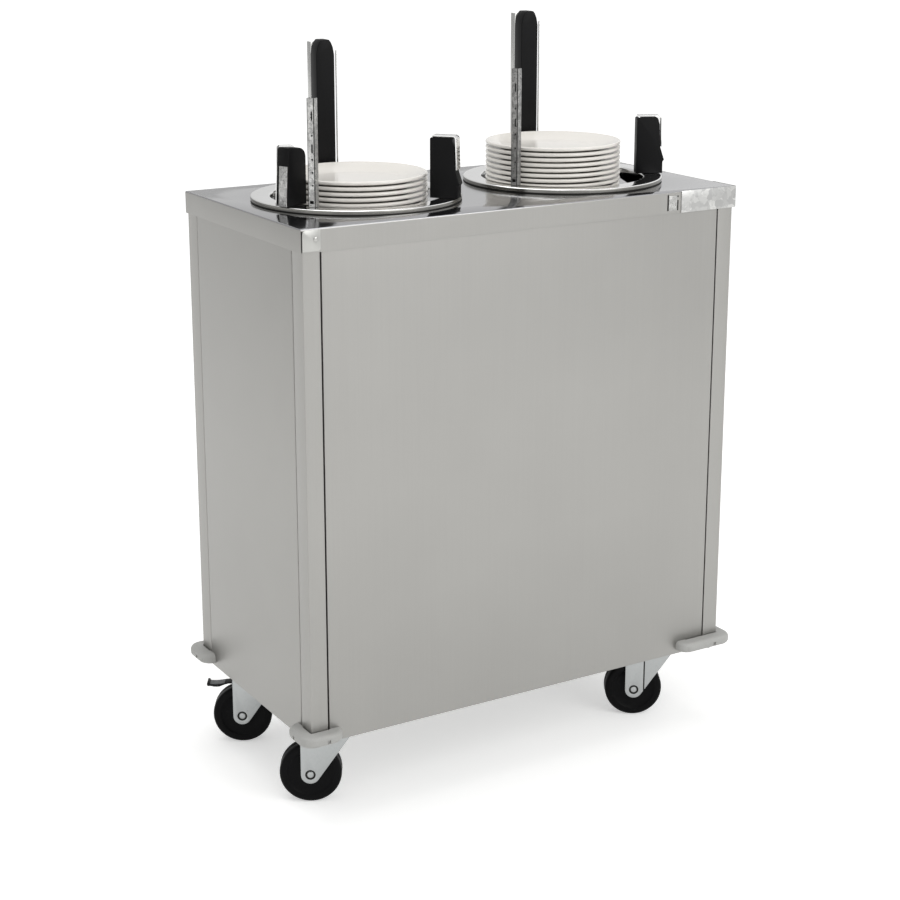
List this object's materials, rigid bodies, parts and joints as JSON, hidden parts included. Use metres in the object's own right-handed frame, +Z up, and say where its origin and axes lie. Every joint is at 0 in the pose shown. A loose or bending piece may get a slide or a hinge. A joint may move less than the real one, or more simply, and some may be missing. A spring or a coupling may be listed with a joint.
{
  "type": "plate dispenser cart",
  "caption": "Wheeled stainless steel cabinet with round sprung wells that lift stacks of plates between upright guides; swivel castors, corner bumpers.",
  "frame": {"origin": "on the floor, under the middle of the cart", "axes": "+X along the long front to the right, +Y from the front face to the back, +Z up"},
  "size_m": [0.852, 0.462, 1.243],
  "materials": {
    "steel_lid": "bright brushed stainless",
    "steel_wall": "satin stainless",
    "steel_ring": "polished stainless",
    "steel_inner": "mill finish",
    "steel_guide": "satin stainless",
    "galvanised": "spangled galvanised",
    "zinc": "bright zinc plate",
    "spring_steel": "drawn wire",
    "guide_plastic": "satin moulded black",
    "bumper_plastic": "moulded light grey",
    "bush_plastic": "natural acetal",
    "wheel_plastic": "solid black rubber",
    "pedal_paint": "grey paint, black tread",
    "china": "glossy glaze"
  },
  "bodies": {
    "cabinet": {"lid": "steel_lid", "corner_cover": "galvanised", "corner_flaps": "steel_lid", "lid_rivets": "zinc", "post_front_left": "steel_wall", "post_front_right": "steel_wall", "post_back_left": "steel_wall", "post_back_right": "steel_wall", "front_panel": "steel_wall", "back_panel": "steel_wall", "left_panel": "steel_wall", "right_panel": "steel_wall", "base_tray": "steel_inner", "corner_bumpers": "bumper_plastic", "bumper_screws": "zinc", "castor_plates": "zinc", "castor_bolts": "zinc", "left_ring": "steel_ring", "right_ring": "steel_ring", "left_tube": "steel_inner", "right_tube": "steel_inner", "guide_rods": "zinc", "frame_rings": "steel_inner", "left_springs": "spring_steel", "right_springs": "spring_steel"},
    "left_carrier": {"left_platform": "steel_inner", "left_spider": "steel_inner", "left_bushings": "bush_plastic"},
    "left_stack": {"left_plates": "china"},
    "right_carrier": {"right_platform": "steel_inner", "right_spider": "steel_inner", "right_bushings": "bush_plastic"},
    "right_stack": {"right_plates": "china"},
    "left_tall_slider": {"left_tall_guide": "guide_plastic", "left_tall_channel": "steel_guide"},
    "right_tall_slider": {"right_tall_guide": "guide_plastic", "right_tall_channel": "steel_guide"},
    "left_rail_slider": {"left_rail": "galvanised"},
    "right_rail_slider": {"right_rail": "galvanised"},
    "left_short_slider": {"left_short_guide": "guide_plastic", "left_short_strap": "steel_guide"},
    "right_short_slider": {"right_short_guide": "guide_plastic", "right_short_strap": "steel_guide"},
    "left_side_slider": {"left_side_guide": "guide_plastic", "left_side_strap": "steel_guide"},
    "castor_front_left": {"fork_front_left": "zinc", "axle_front_left": "zinc"},
    "roller_front_left": {"wheel_front_left": "wheel_plastic"},
    "castor_front_right": {"fork_front_right": "zinc", "axle_front_right": "zinc"},
    "roller_front_right": {"wheel_front_right": "wheel_plastic"},
    "castor_back_left": {"fork_back_left": "zinc", "axle_back_left": "zinc"},
    "roller_back_left": {"wheel_back_left": "wheel_plastic"},
    "castor_back_right": {"fork_back_right": "zinc", "axle_back_right": "zinc"},
    "roller_back_right": {"wheel_back_right": "wheel_plastic"},
    "brake_front_right": {"pedal_front_right": "pedal_paint"},
    "brake_back_left": {"pedal_back_left": "pedal_paint"}
  },
  "joints": [
    {"name": "left_lift", "type": "slide", "parent": "cabinet", "child": "left_carrier", "axis": [0, 0, 1], "range_m": [-0.44, 0.04], "stiffness_N_per_m": 591, "springref_m": 0.1609, "deforming": ["left_springs"]},
    {"name": "left_plates_lift_off", "type": "slide", "parent": "left_carrier", "child": "left_stack", "axis": [0, 0, 1], "range_m": [0, 0.36]},
    {"name": "right_lift", "type": "slide", "parent": "cabinet", "child": "right_carrier", "axis": [0, 0, 1], "range_m": [-0.44, 0.04], "stiffness_N_per_m": 591, "springref_m": 0.1868, "deforming": ["right_springs"]},
    {"name": "right_plates_lift_off", "type": "slide", "parent": "right_carrier", "child": "right_stack", "axis": [0, 0, 1], "range_m": [0, 0.36]},
    {"name": "left_tall_adjust", "type": "slide", "parent": "cabinet", "child": "left_tall_slider", "axis": [0.0872, 0.9962, 0], "range_m": [-0.005, 0.01]},
    {"name": "right_tall_adjust", "type": "slide", "parent": "cabinet", "child": "right_tall_slider", "axis": [0.0872, 0.9962, 0], "range_m": [-0.005, 0.01]},
    {"name": "left_rail_adjust", "type": "slide", "parent": "cabinet", "child": "left_rail_slider", "axis": [-0.8192, -0.5736, 0], "range_m": [-0.003, 0.01]},
    {"name": "right_rail_adjust", "type": "slide", "parent": "cabinet", "child": "right_rail_slider", "axis": [-0.9135, -0.4067, 0], "range_m": [-0.003, 0.01]},
    {"name": "left_short_adjust", "type": "slide", "parent": "cabinet", "child": "left_short_slider", "axis": [0.6691, -0.7431, 0], "range_m": [-0.005, 0.01]},
    {"name": "right_short_adjust", "type": "slide", "parent": "cabinet", "child": "right_short_slider", "axis": [0.9135, -0.4067, 0], "range_m": [-0.005, 0.01]},
    {"name": "left_side_adjust", "type": "slide", "parent": "cabinet", "child": "left_side_slider", "axis": [-0.9397, -0.342, 0], "range_m": [-0.005, 0.01]},
    {"name": "front_left_swivel", "type": "hinge", "parent": "cabinet", "child": "castor_front_left", "pos_m": [-0.326, -0.131, 0.13], "axis": [0, 0, 1], "continuous": true},
    {"name": "front_left_roll", "type": "hinge", "parent": "castor_front_left", "child": "roller_front_left", "pos_m": [-0.35804, -0.1125, 0.051], "axis": [-0.5, -0.866, 0], "continuous": true},
    {"name": "front_right_swivel", "type": "hinge", "parent": "cabinet", "child": "castor_front_right", "pos_m": [0.326, -0.131, 0.13], "axis": [0, 0, 1], "continuous": true},
    {"name": "front_right_roll", "type": "hinge", "parent": "castor_front_right", "child": "roller_front_right", "pos_m": [0.29396, -0.1125, 0.051], "axis": [-0.5, -0.866, 0], "continuous": true},
    {"name": "back_left_swivel", "type": "hinge", "parent": "cabinet", "child": "castor_back_left", "pos_m": [-0.326, 0.131, 0.13], "axis": [0, 0, 1], "continuous": true},
    {"name": "back_left_roll", "type": "hinge", "parent": "castor_back_left", "child": "roller_back_left", "pos_m": [-0.35804, 0.1495, 0.051], "axis": [-0.5, -0.866, 0], "continuous": true},
    {"name": "back_right_swivel", "type": "hinge", "parent": "cabinet", "child": "castor_back_right", "pos_m": [0.326, 0.131, 0.13], "axis": [0, 0, 1], "continuous": true},
    {"name": "back_right_roll", "type": "hinge", "parent": "castor_back_right", "child": "roller_back_right", "pos_m": [0.29396, 0.1495, 0.051], "axis": [-0.5, -0.866, 0], "continuous": true},
    {"name": "front_right_brake", "type": "hinge", "parent": "castor_front_right", "child": "brake_front_right", "pos_m": [0.30868, -0.121, 0.108], "axis": [-0.5, -0.866, 0], "range_deg": [-12, 0]},
    {"name": "back_left_brake", "type": "hinge", "parent": "castor_back_left", "child": "brake_back_left", "pos_m": [-0.34332, 0.141, 0.108], "axis": [-0.5, -0.866, 0], "range_deg": [0, 12]}
  ]
}
